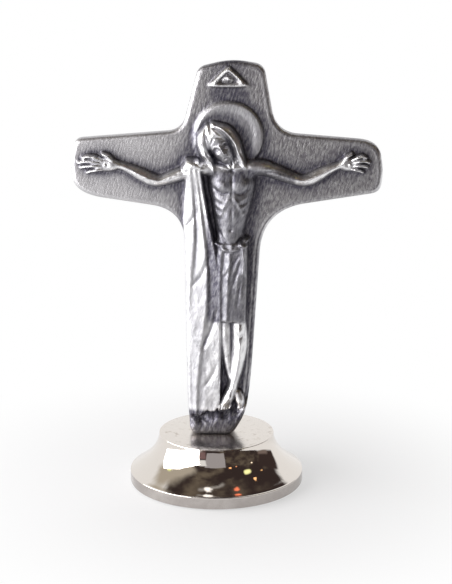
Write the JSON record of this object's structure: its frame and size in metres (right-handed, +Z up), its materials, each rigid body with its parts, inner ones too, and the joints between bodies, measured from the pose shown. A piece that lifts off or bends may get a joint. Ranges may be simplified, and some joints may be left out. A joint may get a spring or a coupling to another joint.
{
  "type": "standing cross",
  "caption": "Cast relief cross with a haloed figure and a hanging cloth, screwed upright on a round polished metal foot with a felt pad underneath.",
  "frame": {"origin": "middle of the felt pad's underside, on the table under the axis of the turned foot", "axes": "+Z up, -Y out of the carved face towards the viewer, +X to the viewer's right"},
  "size_m": [0.079, 0.0456, 0.111],
  "materials": {
    "oxidised_pewter": "satin",
    "polished_nickel": "polished",
    "plated_steel": "satin",
    "dark_felt": "matte"
  },
  "bodies": {
    "root": {"cross_casting": "oxidised_pewter", "foot_body": "polished_nickel", "foot_screw": "plated_steel", "spring_washer": "plated_steel", "flat_washer": "plated_steel", "locating_dowel": "plated_steel", "felt_pad": "dark_felt"}
  },
  "joints": []
}
